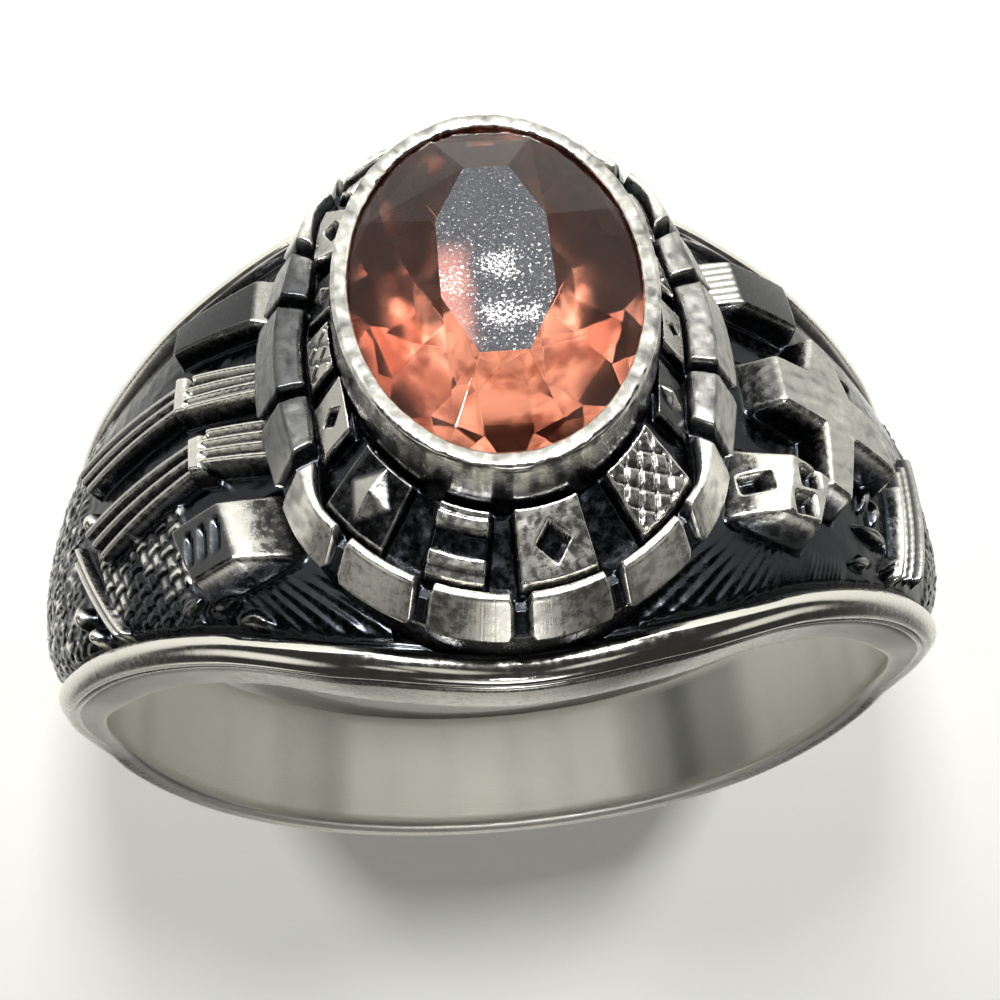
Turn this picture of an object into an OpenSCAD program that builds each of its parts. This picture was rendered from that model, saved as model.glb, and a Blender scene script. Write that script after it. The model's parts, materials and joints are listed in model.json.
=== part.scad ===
// A man's class ring: one heavy casting with an oval bezel, and one faceted oval stone.
// Origin: the centre of the finger hole. The ring lies on its side, as it does on a table.
// Before it is laid down, Z runs along the finger and the head with the stone points to -Y.

/* [Band] */
// Inside radius of the band
bore_r = 9.9; // [8.5:0.1:11.5]
// Wall of the plain band at the back
back_wall = 1.25; // [0.9:0.05:2]
// Wall of the band at its two sides
side_wall = 0.9; // [0.7:0.05:1.6]
// Width of the plain band at the back, along the finger
back_w = 3.9; // [3:0.1:6]
// Width over the two rails at the head, along the finger
head_w = 11.9; // [11.4:0.1:13]
// Height of the rails over the finger hole, where they are highest
rail_h = 1.9; // [1.6:0.05:2.3]
// Thickness of a rail, in from its side face
rail_t = 0.6; // [0.4:0.05:0.8]
// Depth of the sunk panel below a rail's top edge
panel_drop = 0.4; // [0.2:0.05:0.6]
// Height over the finger hole of the panel's middle, beside the head
panel_h = 2; // [1.8:0.05:2.4]
// Height of the raised work on the shoulders, over the panel
relief_h = 0.65; // [0.4:0.05:0.8]

/* [Setting] */
// Height over the finger hole of the bezel's lip
lip_h = 5.2; // [4.6:0.1:6]
// Wall of the bezel at its lip
lip_t = 0.3; // [0.2:0.01:0.6]
// How far the lip reaches in over the edge of the stone
lip_cover = 0.26; // [0.1:0.02:0.4]
// Height of the polished collar below the lip
collar_h = 0.9; // [0.6:0.05:1.2]
// How far the collar flares out, down to the channel
collar_flare = 0.08; // [0.02:0.02:0.3]
// Width of the sloping channel at the ends of the oval
channel_w = 1.24; // [0.9:0.02:1.4]
// Width of the channel at the sides of the oval
side_channel_w = 0.56; // [0.4:0.02:0.9]
// Fall of the channel's floor, from the collar to the border
channel_fall = 0.7; // [0.4:0.05:1]
// Height of the blocks that stand in the channel
block_h = 0.5; // [0.3:0.05:0.7]
// Width of the border's top at the ends of the oval
border_t = 0.12; // [0.06:0.02:0.3]
// Width of the border's top at the sides of the oval
side_border_t = 0.5; // [0.3:0.02:0.6]
// Height of the border's top over the channel's outer edge
border_h = 0.42; // [0.2:0.02:0.6]
// Height of the border's sloping outer face
border_slope_h = 0.82; // [0.5:0.02:1.2]
// How far that face runs outwards
border_slope_w = 0.38; // [0.2:0.02:0.6]
// How much closer in the border's foot lies at the sides of the oval
side_foot_in = 0.22; // [0:0.02:0.3]

/* [Stone] */
// Width of the stone, across the finger
stone_w = 5.6; // [4.8:0.1:6]
// Length of the stone, along the finger
stone_l = 7.8; // [6.8:0.1:8]
// Thickness of the stone's edge, its girdle
girdle_t = 0.14; // [0.08:0.02:0.3]
// Height of the stone's crown over the girdle
crown_h = 0.7; // [0.5:0.05:1.2]
// Depth of the stone below the girdle
pavilion_h = 2.1; // [1.4:0.1:2.6]
// Width of the table, the flat top of the stone
table_w = 1.9; // [1.4:0.1:3]
// Length of the table
table_l = 4.1; // [3:0.1:5]
// Gap between the stone and its seat
seat_gap = 0.05; // [0.03:0.01:0.1]

/* [Hidden] */

half_w = head_w / 2;
lip_y = bore_r + lip_h;
open_x = stone_w / 2 - lip_cover;
open_z = stone_l / 2 - lip_cover;

// The stone's corners: how far out from the table to the edge, and how much of the crown is left there
corner_share = 0.72;
flat = cos(22.5);
table_size = [table_w, table_l] / flat;
stone_size = [stone_w, stone_l];
corner_size = table_size + corner_share * (stone_size - table_size);
corner_up = (stone_w - corner_size[0] * flat) / (stone_w - table_w);
keel_share = 0.42;
keel_down = 1 - keel_share * flat;
crown_slope = 2 * crown_h * corner_up / (stone_w - corner_size[0]);

// Heights over the finger's axis, along the head's own axis
lip_round = lip_t / 6;
girdle_top = lip_y - lip_round - seat_gap - lip_cover * crown_slope;
girdle_low = girdle_top - girdle_t;
collar_foot = lip_y - collar_h;
channel_top = collar_foot - block_h;
channel_low = channel_top - channel_fall;
border_top = channel_low + border_h;
border_foot = border_top - border_slope_h;
head_root = bore_r + side_wall / 2;

// Distances out from the bezel's opening, at an angle around the oval
collar_out = lip_t + collar_flare;
end_foot_out = collar_out + channel_w + 1.5 * border_t + border_slope_w;
gap_cut = border_slope_w / 3;
function channel_out(a) = collar_out + mix(channel_w, side_channel_w, sideness(a));
function border_in(a) = channel_out(a) + border_t / 2;
function border_out(a) = border_in(a) + mix(border_t, side_border_t, sideness(a));
function foot_out(a) = end_foot_out - side_foot_in * sideness(a);

// The band, by angle from the head. Each share runs from 0, the plain back, to 1, the full size.
ANGLE = 0;
WIDE = 1;
RAIL = 2;
PANEL = 3;
EDGED = 4;
BACK = 5;
BAND = [
    // angle, width, rail height, panel height, how far the rails stand out, how far the back is reached
    [0, 1, 0.63, 1, 1, 0],
    [15, 0.89, 0.9, 1, 1, 0],
    [30, 0.65, 0.95, 0.97, 1, 0],
    [45, 0.46, 0.74, 0.88, 1, 0],
    [60, 0.33, 0.47, 0.72, 1, 0],
    [75, 0.16, 0.08, 0.42, 0.8, 0],
    [94, 0.01, 0, 0, 0, 0],
    [115, 0, 0, 0, 0, 0.2],
    [145, 0, 0, 0, 0, 1],
    [180, 0, 0, 0, 0, 1]
];
band_steps = 60;

// Half of the band's section, from the finger hole up the side face and over the rail.
// Up is a share of the rail's height or of the plain wall, in a share of the rail's thickness.
EDGE = [
    // up and in with a rail, up and in on the plain band
    [-0.25, 0.16, -0.25, 0.15],
    [0.5, 0.11, 0.12, 0.05],
    [0.61, 0.11, 0.3, 0],
    [0.67, 0.24, 0.5, 0],
    [0.72, 0.08, 0.64, 0.03],
    [0.82, 0, 0.74, 0.12],
    [0.93, 0.2, 0.84, 0.4],
    [1, 0.55, 0.92, 0.9],
    [0.96, 0.92, 0.97, 1.4]
];
// Where the panel's own points lie, as shares of its half width
PANEL_SHARES = [1, 0.82, 0.6, 0.36, 0.12];

function mix(a, b, s) = a + (b - a) * s;
function row_before(t, i = 0) = i >= len(BAND) - 2 || BAND[i + 1][ANGLE] > t ? i : row_before(t, i + 1);
function slope_at(i, col) =
    let (a = BAND[max(i - 1, 0)], b = BAND[min(i + 1, len(BAND) - 1)])
    i == 0 || i == len(BAND) - 1 ? 0 : (b[col] - a[col]) / (b[ANGLE] - a[ANGLE]);
// A column of the band's table at any angle, as a smooth curve through its rows
function band_share(angle, col) =
    let (
        t = abs(angle) > 180 ? 360 - abs(angle) : abs(angle),
        i = row_before(t),
        step = BAND[i + 1][ANGLE] - BAND[i][ANGLE],
        u = (t - BAND[i][ANGLE]) / step,
        a = BAND[i][col],
        b = BAND[i + 1][col]
    )
    max(0, a * (1 + 2 * u) * (1 - u) * (1 - u) + b * u * u * (3 - 2 * u)
        + step * (slope_at(i, col) * u * (1 - u) * (1 - u) - slope_at(i + 1, col) * u * u * (1 - u)));

function side_z(t) = mix(back_w, head_w, band_share(t, WIDE)) / 2;
function plain_up(t) = mix(side_wall, back_wall, band_share(t, BACK));
function rail_up(t) = mix(plain_up(t), rail_h, band_share(t, RAIL));
function panel_up(t) = mix(plain_up(t), panel_h, band_share(t, PANEL));
function panel_z(t) = side_z(t) - rail_t * mix(1.9, 1.1, band_share(t, EDGED));
function panel_foot(t) = rail_up(t) - mix(0.02, panel_drop, band_share(t, EDGED));
// Radius of the sunk panel at an angle and a place along the finger
function panel_r(t, z) =
    let (s = min(1, abs(z) / panel_z(t)))
    bore_r + mix(panel_foot(t), panel_up(t), sqrt(1 - 0.96 * s * s));
function on_band(t, z, r) = [r * sin(t), -r * cos(t), z];

function half_section(t) =
    let (e = band_share(t, EDGED))
    concat(
        [for (p = EDGE) [
            bore_r + rail_up(t) * mix(p[2], p[0], e),
            side_z(t) - rail_t * mix(p[3], p[1], e)
        ]],
        [for (s = PANEL_SHARES) [panel_r(t, s * panel_z(t)), s * panel_z(t)]]
    );
function backwards(list) = [for (i = [len(list) - 1:-1:0]) list[i]];
function section(t) =
    let (half = half_section(t))
    concat(
        [for (p = half) on_band(t, -p[1], p[0])],
        [for (p = backwards(half)) on_band(t, p[1], p[0])]
    );

function middle(ring) = [for (i = [0:2]) [for (p = ring) p[i]] * [for (p = ring) 1] / len(ring)];
function wall_faces(rows, cols, last) = [
    for (i = [0:last], j = [0:cols - 1])
        let (
            a = i * cols + j,
            b = i * cols + (j + 1) % cols,
            c = (i + 1) % rows * cols + (j + 1) % cols,
            d = (i + 1) % rows * cols + j
        )
        each [[a, b, c], [a, c, d]]
];

// A hoop through rings of points, the last joined to the first
module hoop(rings) {
    cols = len(rings[0]);
    polyhedron([for (r = rings) each r], wall_faces(len(rings), cols, len(rings) - 1));
}

// A solid through rings of points, closed over its first and last ring
module skin(rings) {
    rows = len(rings);
    cols = len(rings[0]);
    top = (rows - 1) * cols;
    polyhedron(
        concat([for (r = rings) each r], [middle(rings[0]), middle(rings[rows - 1])]),
        concat(
            wall_faces(rows, cols, rows - 2),
            [for (j = [0:cols - 1]) [rows * cols, (j + 1) % cols, j]],
            [for (j = [0:cols - 1]) [rows * cols + 1, top + j, top + (j + 1) % cols]]
        )
    );
}

// A point on the oval that lies some way out from the bezel's opening
function oval(a, out, y) = [(open_x + out) * sin(a), -y, (open_z + out) * cos(a)];
oval_angles = [for (i = [0:59]) 6 * i];
function oval_ring(out, y) = [for (a = oval_angles) oval(a, out, y)];
// How near an angle around the oval is to its sides, from 0 over its ends to 1 over its sides
function sideness(a) =
    let (s = min(1, max(0, (abs(sin(a)) - 0.75) / 0.22)))
    s * s * (3 - 2 * s);

module band() {
    hoop([for (i = [0:band_steps - 1]) section(360 * i / band_steps)]);
}

// The head without its border: root, slope, channel, collar and lip, then the stone's seat
module head() {
    seat = lip_cover + seat_gap;
    skin([
        [for (a = oval_angles) oval(a, foot_out(a) - gap_cut, head_root)],
        [for (a = oval_angles) oval(a, foot_out(a) - gap_cut, border_foot)],
        [for (a = oval_angles) oval(a, channel_out(a), channel_low)],
        oval_ring(collar_out, channel_top),
        oval_ring(collar_out, collar_foot),
        oval_ring(lip_t, lip_y - 2 * lip_round),
        oval_ring(lip_t - lip_round, lip_y),
        oval_ring(lip_round, lip_y),
        oval_ring(0, lip_y - lip_round),
        oval_ring(seat, girdle_top + seat_gap),
        oval_ring(seat, girdle_low),
        oval_ring(mix(seat, -open_x, 0.86), girdle_low - pavilion_h - seat_gap)
    ]);
}

// One bar of the border, between two angles around the oval
module border_bar(from, to) {
    steps = ceil((to - from) / 8);
    skin([
        for (i = [0:steps])
            let (a = mix(from, to, i / steps))
            [
                oval(a, channel_out(a) - 0.1, channel_low - border_h),
                oval(a, channel_out(a), channel_low),
                oval(a, border_in(a), border_top),
                oval(a, border_out(a), border_top - 0.05),
                oval(a, foot_out(a), border_foot),
                oval(a, foot_out(a) - 0.05, border_foot - border_h)
            ]
    ]);
}

// Bars along half of the oval, by their first and last angle from the near end
BARS = [
    [1.2, 20.4], [22.6, 41.2], [43.4, 60.8], [63, 77.5], [79, 102],
    [103.5, 117], [119.2, 136.6], [138.8, 157.4], [159.6, 178.8]
];

module border() {
    for (bar = BARS) {
        border_bar(bar[0], bar[1]);
        border_bar(360 - bar[1], 360 - bar[0]);
    }
}

// One block in the channel, its top level with the foot of the collar
module channel_block(angle, spread) {
    width = channel_out(angle) - collar_out;
    inner = collar_out + width * 0.08;
    outer = channel_out(angle) - width * 0.06;
    floor_in = channel_top - block_h * 0.4;
    floor_out = channel_low - block_h * 0.2;
    skin([
        for (side = [-1, 1])
            let (a = angle + side * spread / 2, b = angle + side * spread * 0.44)
            [
                oval(a, inner, floor_in),
                oval(b, inner, channel_top + block_h * 0.7),
                oval(b, outer, channel_low + block_h * 0.74),
                oval(a, outer, floor_out)
            ]
    ]);
}

// The channel's blocks: the angle of each, and how many degrees it spreads over
BLOCKS = [
    [15.4, 17], [42, 20], [65, 16], [84, 15], [103, 15], [123, 16], [146, 20], [169, 18],
    [192, 18], [215, 20], [237, 16], [256, 14], [275, 15], [295, 16], [319.4, 21], [350.3, 22]
];

module channel_blocks() {
    for (row = BLOCKS)
        channel_block(row[0], row[1]);
}

// A raised shape on a shoulder. Its outline is a list of angles and places along the finger.
module raised(outline, height, draft = 0.14) {
    centre = [for (i = [0:1]) [for (p = outline) p[i]] * [for (p = outline) 1] / len(outline)];
    skin([
        [for (p = outline) on_panel(mix(p, centre, draft), height)],
        [for (p = outline) on_panel(p, -relief_h)]
    ]);
}

// A straight rib on a shoulder, from one place to another
module rib(from, to, width, height) {
    degree = bore_r * PI / 180;
    along = [(to[0] - from[0]) * degree, to[1] - from[1]];
    side = [-along[1] / degree, along[0]] * width / norm(along);
    steps = max(2, ceil(abs(to[0] - from[0]) / 6));
    skin([
        for (i = [0:steps])
            let (p = mix(from, to, i / steps))
            [
                on_panel(p - side / 2, -relief_h / 2),
                on_panel(p - side / 4, height),
                on_panel(p + side / 4, height),
                on_panel(p + side / 2, -relief_h / 2)
            ]
    ]);
}

// A square pit in a raised top, at an angle and a place along the finger
module pit(t, z, size, height) {
    top = panel_r(t, z) + height;
    deep = pit_depth * relief_h;
    rotate([0, 0, t])
        translate([-size / 2, -top - relief_h, z - size / 2])
            cube([size, relief_h + deep, size]);
}

// Blocks on the two shoulders: their height, how many square pits each way, and their corners.
// A corner is an angle, positive on the +X side, and a place along the finger as a share of half
// the head's width. Heights are shares of the relief.
HEIGHT = 0;
PITS = 1;
CORNERS = 2;
BLOCKS_ON_SHOULDERS = [
    [0.8, 0, [[20, -0.62], [33, -0.55], [33, -0.4], [20, -0.38]]],
    [1.3, 2, [[21, 0.31], [30.5, 0.37], [28, 0.6], [19.5, 0.54]]],
    [0.9, 0, [[29.6, -0.26], [31.6, -0.28], [31.6, -0.11], [29.6, -0.1]]],
    [0.9, 0, [[27.4, 0.01], [29.6, 0.01], [29.4, 0.15], [27.4, 0.17]]],
    [0.6, 0, [[46.8, 0.37], [49, 0.37], [49, 0.44], [46.8, 0.44]]],
    [0.6, 0, [[44.8, 0.46], [47, 0.46], [47, 0.53], [44.8, 0.53]]],
    [0.6, 0, [[44.4, 0.03], [46.6, 0.03], [46.6, 0.11], [44.4, 0.11]]],
    [0.9, 0, [[-33, -0.56], [-21.5, -0.6], [-21.5, -0.38], [-32.5, -0.31]]],
    [1.3, 2, [[-30.6, 0.34], [-22.6, 0.24], [-21.2, 0.5], [-28.4, 0.54]]],
    [0.5, 0, [[-41.6, 0.26], [-38.2, 0.15], [-39, 0.34], [-41.6, 0.4]]]
];

// Ribs on the two shoulders: flutes, rods, frames and the strips of the ground
RIBS_ON_SHOULDERS = [
    // angle and place at one end, angle and place at the other, width, height
    [[19.5, -0.16], [29, -0.235], 0.045, 0.8],
    [[19.5, -0.125], [29.6, -0.19], 0.045, 1],
    [[19.5, -0.09], [29.8, -0.15], 0.045, 1],
    [[19.5, -0.055], [29.6, -0.115], 0.045, 0.8],
    [[19.5, 0.075], [27, 0.02], 0.045, 0.8],
    [[19.5, 0.115], [27.4, 0.055], 0.045, 1],
    [[19.5, 0.155], [27.6, 0.09], 0.045, 1],
    [[19.5, 0.2], [27.6, 0.128], 0.045, 0.8],
    [[31.2, -0.25], [48, -0.176], 0.05, 0.6],
    [[31.2, -0.205], [47, -0.126], 0.05, 0.6],
    [[31.2, -0.16], [45.5, -0.067], 0.05, 0.6],
    [[29.2, 0.02], [45, 0.13], 0.05, 0.6],
    [[29.2, 0.072], [43.5, 0.193], 0.05, 0.6],
    [[29.2, 0.126], [42, 0.26], 0.05, 0.6],
    [[48.5, 0.13], [40.5, 0.56], 0.05, 0.45],
    [[33, 0.3], [41, 0.36], 0.04, 0.35],
    [[32, 0.41], [40, 0.46], 0.04, 0.35],
    [[-46, 0.08], [-44.5, 0.5], 0.05, 0.7],
    [[-49.5, -0.06], [-47, 0.46], 0.05, 0.6],
    [[-53, -0.1], [-50, 0.42], 0.05, 0.4],
    [[-66, -0.26], [-66, 0.26], 0.08, 0.12],
    [[66, -0.26], [66, 0.26], 0.08, 0.12],
    [[-33.5, 0.45], [-43, 0.38], 0.05, 0.45]
];

// The star on one shoulder, around its four arms
STAR = [
    [-24.6, 0.05], [-31.2, 0.118], [-30.2, 0.361], [-33.4, 0.403], [-35.5, 0.151], [-42, 0.21],
    [-40, 0.008], [-36.3, -0.05], [-35, -0.227], [-32.5, -0.294], [-30.5, -0.118], [-24.6, -0.151]
];
star_height = 1.15;

// The pits in a block: their size and depth as shares of its width and of the relief
pit_share = 0.28;
pit_depth = 0.45;

function on_panel(p, up) = on_band(p[0], p[1], panel_r(p[0], p[1]) + up);
function placed(p) = [p[0], p[1] * half_w];

module shoulders() {
    for (row = BLOCKS_ON_SHOULDERS)
        raised([for (p = row[CORNERS]) placed(p)], row[HEIGHT] * relief_h);
    for (row = RIBS_ON_SHOULDERS)
        rib(placed(row[0]), placed(row[1]), row[2] * half_w, row[3] * relief_h);
    raised([for (p = STAR) placed(p)], star_height * relief_h, 0.1);
}

// A place in a block, by its shares of the way between the block's corners
function inside(c, u, v) = mix(mix(c[0], c[1], u), mix(c[3], c[2], u), v);

module pits() {
    for (row = BLOCKS_ON_SHOULDERS) {
        count = row[PITS];
        size = pit_share * (row[CORNERS][3][1] - row[CORNERS][0][1]) * half_w;
        for (i = [1:1:count], j = [1:1:count]) {
            p = placed(inside(row[CORNERS], (i - 0.3) / (count + 0.4), (j - 0.3) / (count + 0.4)));
            pit(p[0], p[1], size, row[HEIGHT] * relief_h);
        }
    }
}

// How far the ring tips when it lies on its side: on the head's rail and on the back's edge
function clear_of_bore(points) = [for (p = points) [max(p[0], bore_r), p[1]]];
function reach(p, t, way) = way * p[0] * sin(t) + p[1] * cos(t);
function lowest(points, t, way) =
    let (most = max([for (p = points) reach(p, t, way)]))
    [for (p = points) if (reach(p, t, way) >= most) p][0];
function rest_tilt(t, tries) =
    let (
        head = lowest(clear_of_bore(half_section(0)), t, -1),
        back = lowest(clear_of_bore(half_section(180)), t, 1),
        next = atan((head[1] - back[1]) / (head[0] + back[0]))
    )
    tries == 0 ? next : rest_tilt(next, tries - 1);
tilt = rest_tilt(10, 4);
module laid_down() rotate([-tilt, 0, 0]) children();

function stone_point(size, angle, y) = [size[0] / 2 * sin(angle), -y, size[1] / 2 * cos(angle)];
// Points from the table down: 8 of the table, 8 corners, 16 and 16 of the girdle, 8 of the keel, 1 tip
stone_points = concat(
    [for (i = [0:7]) stone_point(table_size, 45 * i + 22.5, girdle_top + crown_h)],
    [for (i = [0:7]) stone_point(corner_size, 45 * i + 22.5, girdle_top + crown_h * corner_up)],
    [for (i = [0:15]) stone_point(stone_size, 22.5 * i, girdle_top)],
    [for (i = [0:15]) stone_point(stone_size, 22.5 * i, girdle_low)],
    [for (i = [0:7]) stone_point(keel_share * stone_size, 45 * i + 22.5, girdle_low - pavilion_h * keel_down)],
    [[0, pavilion_h - girdle_low, 0]]
);
stone_faces = [
    for (i = [0:7])
        let (
            n = (i + 1) % 8,
            table = i,
            next_table = n,
            corner = 8 + i,
            next_corner = 8 + n,
            g = 16 + 2 * i,
            mid = g + 1,
            far = 16 + 2 * n,
            keel = 48 + i,
            next_keel = 48 + n,
            tip = 56
        )
        each [
            [table, corner, next_corner],
            [table, next_corner, next_table],
            [corner, far, next_corner],
            [corner, g, mid],
            [corner, mid, far],
            [g, mid + 16, mid],
            [g, g + 16, mid + 16],
            [mid, far + 16, far],
            [mid, mid + 16, far + 16],
            [g + 16, keel, mid + 16],
            [mid + 16, keel, far + 16],
            [far + 16, tip, next_keel],
            [far + 16, keel, tip]
        ]
];
table_face = [for (i = [1:6]) [0, i, i + 1]];

module ring_body() {
    color([0.62, 0.62, 0.61])
    laid_down()
    difference() {
        union() {
            band();
            head();
            border();
            channel_blocks();
            shoulders();
        }
        cylinder(r = bore_r, h = 2 * head_w, center = true, $fn = 120);
        pits();
    }
}

module stone() {
    color([0.9, 0.42, 0.32])
    laid_down()
    polyhedron(stone_points, concat(table_face, stone_faces));
}

ring_body();
stone();
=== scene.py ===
import json
import math

import bpy
import numpy as np
from mathutils import Matrix, Vector


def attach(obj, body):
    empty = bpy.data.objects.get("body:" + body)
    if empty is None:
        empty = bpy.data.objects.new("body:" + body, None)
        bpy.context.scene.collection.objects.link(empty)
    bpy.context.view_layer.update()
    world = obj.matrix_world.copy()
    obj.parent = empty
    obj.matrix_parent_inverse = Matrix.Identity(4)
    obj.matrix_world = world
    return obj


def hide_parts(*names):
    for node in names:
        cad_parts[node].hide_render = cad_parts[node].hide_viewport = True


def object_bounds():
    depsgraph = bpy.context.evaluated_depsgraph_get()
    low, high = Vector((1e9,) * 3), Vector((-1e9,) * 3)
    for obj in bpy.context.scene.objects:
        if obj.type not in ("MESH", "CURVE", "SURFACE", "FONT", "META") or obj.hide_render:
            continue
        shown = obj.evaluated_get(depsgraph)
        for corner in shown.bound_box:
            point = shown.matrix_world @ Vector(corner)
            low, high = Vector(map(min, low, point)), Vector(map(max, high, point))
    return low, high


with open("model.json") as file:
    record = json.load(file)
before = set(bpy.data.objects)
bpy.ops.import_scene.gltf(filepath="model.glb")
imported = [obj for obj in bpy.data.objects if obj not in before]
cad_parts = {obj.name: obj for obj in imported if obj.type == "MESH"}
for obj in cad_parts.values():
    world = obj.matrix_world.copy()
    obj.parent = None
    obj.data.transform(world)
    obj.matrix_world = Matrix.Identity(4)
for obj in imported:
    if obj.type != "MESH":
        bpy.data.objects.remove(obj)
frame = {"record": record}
cad_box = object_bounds()

# Lengths are in mm and angles in degrees, in the ring's own frame: Z runs along the finger
# and the head points to -Y. LAID_DOWN turns that into the frame in which the ring lies.
MM = 0.001
FINGER = frame["record"]["mounts"][0]
BORE_R = FINGER["dims"]["r_mm"]
TILT = math.atan2(FINGER["axis"][1], FINGER["axis"][2])
LAID_DOWN = Matrix.Rotation(-TILT, 4, "X") @ Matrix.Scale(MM, 4)

# The band
BACK_WALL = 1.25
SIDE_WALL = 0.9
BACK_W = 3.9
HEAD_W = 11.9
HALF_W = HEAD_W / 2
RAIL_H = 1.9
RAIL_T = 0.6
PANEL_DROP = 0.4
PANEL_H = 2.0

# The setting
LIP_H = 5.2
LIP_T = 0.3
LIP_COVER = 0.26
LIP_ROUND = LIP_T / 6
COLLAR_H = 0.9
COLLAR_FLARE = 0.08
CHANNEL_W = 1.24
SIDE_CHANNEL_W = 0.56
CHANNEL_FALL = 0.7
BLOCK_H = 0.5
BORDER_T = 0.12
SIDE_BORDER_T = 0.5
BORDER_H = 0.42
BORDER_SLOPE_H = 0.82
BORDER_SLOPE_W = 0.38
SIDE_FOOT_IN = 0.22

# The stone
STONE_W = 5.6
STONE_L = 7.8
GIRDLE_T = 0.14
CROWN_H = 0.7
PAVILION_H = 2.1
TABLE_W = 1.9
TABLE_L = 4.1
SEAT_GAP = 0.05
CORNER_SHARE = 0.72
FLAT = math.cos(math.radians(22.5))
TABLE = np.array([TABLE_W, TABLE_L]) / 2 / FLAT
STONE = np.array([STONE_W, STONE_L]) / 2
CORNER = TABLE + CORNER_SHARE * (STONE - TABLE)
CORNER_UP = (STONE[0] - CORNER[0] * FLAT) / (STONE[0] - TABLE_W / 2)
CROWN_SLOPE = CROWN_H * CORNER_UP / (STONE[0] - CORNER[0])

# Heights over the finger's axis, and distances out from the bezel's opening
LIP_Y = BORE_R + LIP_H
OPEN_X = STONE_W / 2 - LIP_COVER
OPEN_Z = STONE_L / 2 - LIP_COVER
GIRDLE_TOP = LIP_Y - LIP_ROUND - SEAT_GAP - LIP_COVER * CROWN_SLOPE
GIRDLE_LOW = GIRDLE_TOP - GIRDLE_T
COLLAR_FOOT = LIP_Y - COLLAR_H
CHANNEL_TOP = COLLAR_FOOT - BLOCK_H
CHANNEL_LOW = CHANNEL_TOP - CHANNEL_FALL
BORDER_TOP = CHANNEL_LOW + BORDER_H
BORDER_FOOT = BORDER_TOP - BORDER_SLOPE_H
HEAD_ROOT = BORE_R + SIDE_WALL / 2
COLLAR_OUT = LIP_T + COLLAR_FLARE
END_FOOT_OUT = COLLAR_OUT + CHANNEL_W + 1.5 * BORDER_T + BORDER_SLOPE_W
GAP_CUT = BORDER_SLOPE_W / 3

# The band by angle from the head, as shares from the plain back to the full size
WIDE, RAIL, PANEL, EDGED, BACK = 1, 2, 3, 4, 5
BAND = np.array([
    # angle, width, rail height, panel height, how far the rails stand out, how far the back is reached
    [0, 1, 0.63, 1, 1, 0],
    [15, 0.89, 0.9, 1, 1, 0],
    [30, 0.65, 0.95, 0.97, 1, 0],
    [45, 0.46, 0.74, 0.88, 1, 0],
    [60, 0.33, 0.47, 0.72, 1, 0],
    [75, 0.16, 0.08, 0.42, 0.8, 0],
    [94, 0.01, 0, 0, 0, 0],
    [115, 0, 0, 0, 0, 0.2],
    [145, 0, 0, 0, 0, 1],
    [180, 0, 0, 0, 0, 1],
])

# Half of the band's outer section: with a rail, then on the plain band. Up is a share of the
# rail's height, in is a share of the rail's thickness, tone runs from dark oxide to bright metal.
EDGE = [
    # up, in, plain up, plain in, tone
    [0.0, 0.22, 0.0, 0.22, 0.9],
    [0.03, 0.16, 0.02, 0.14, 1],
    [0.1, 0.135, 0.06, 0.09, 0.9],
    [0.3, 0.12, 0.12, 0.05, 0.85],
    [0.5, 0.11, 0.2, 0.02, 0.85],
    [0.59, 0.115, 0.26, 0.005, 0.7],
    [0.605, 0.15, 0.3, 0, 0.35],
    [0.62, 0.1, 0.34, 0, 0.9],
    [0.65, 0.07, 0.38, 0, 1],
    [0.68, 0.11, 0.42, 0, 0.8],
    [0.695, 0.2, 0.46, 0, 0.1],
    [0.715, 0.21, 0.5, 0.005, 0.1],
    [0.73, 0.1, 0.54, 0.01, 0.7],
    [0.76, 0.03, 0.58, 0.02, 0.9],
    [0.81, 0.0, 0.63, 0.04, 1],
    [0.87, 0.05, 0.69, 0.08, 1],
    [0.93, 0.17, 0.76, 0.16, 1],
    [0.975, 0.34, 0.83, 0.28, 1],
    [1.0, 0.55, 0.88, 0.45, 1],
    [0.995, 0.74, 0.91, 0.68, 1],
    [0.95, 0.88, 0.93, 0.95, 0.9],
    [0.87, 0.97, 0.95, 1.2, 0.5],
    [0.8, 1.0, 0.97, 1.4, 0.1],
]
# Up and in, for the edge where its grooves have run out
CALM_EDGE = np.array([[0, 0.22], [0.04, 0.15], [0.59, 0.1], [0.81, 0.0]])
# How many columns of the section lie on the band's flat side
SIDE_COLUMNS = 6
# Places across the sunk panel, as shares of half its width
PANEL_SHARES = np.array([1, 0.93, 0.82, 0.7, 0.56, 0.42, 0.28, 0.14, 0.0])
# Degrees from the head between which the grooves, the polish and the panel's dark ground run out
EDGED_ENDS = (50, 66)
MATTE_ENDS = (22, 44)
PLAIN_ENDS = (64, 80)
# Tone inside the finger hole: how strong, waves of painted reflection bands around it and their shift,
# then patches of painted shade, darker reflections painted into the tone, with their strength, angle and
# reach
BORE_TONE = 0.93
REFLECTION_BAND_TONE = 0.035
REFLECTION_BANDS = [[9, 1], [16, 2], [31, 0]]
PAINTED_SHADE_PATCHES = [[0.45, 219, 12], [0.1, 146, 14]]
# Millimetres for each degree: along the shoulders, and around the head's ovals
SHOULDER_R = 11.9
ALONG = 2 * math.pi * SHOULDER_R / 360
AROUND = 0.07
NOISE_CELLS = 64
# How fine the skins are: the band's degrees a row, a shoulder's rows and columns, and the
# columns around the channel and the bezel
BAND_STEP = 0.75
SHOULDER_GRID = (388, 236)
CHANNEL_COLS = 980
BEZEL_COLS = 420


def mix(a, b, s):
    return a + (b - a) * s


def smooth(low, high, x):
    s = np.clip((np.asarray(x, float) - low) / (high - low), 0, 1)
    return s * s * (3 - 2 * s)


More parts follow.
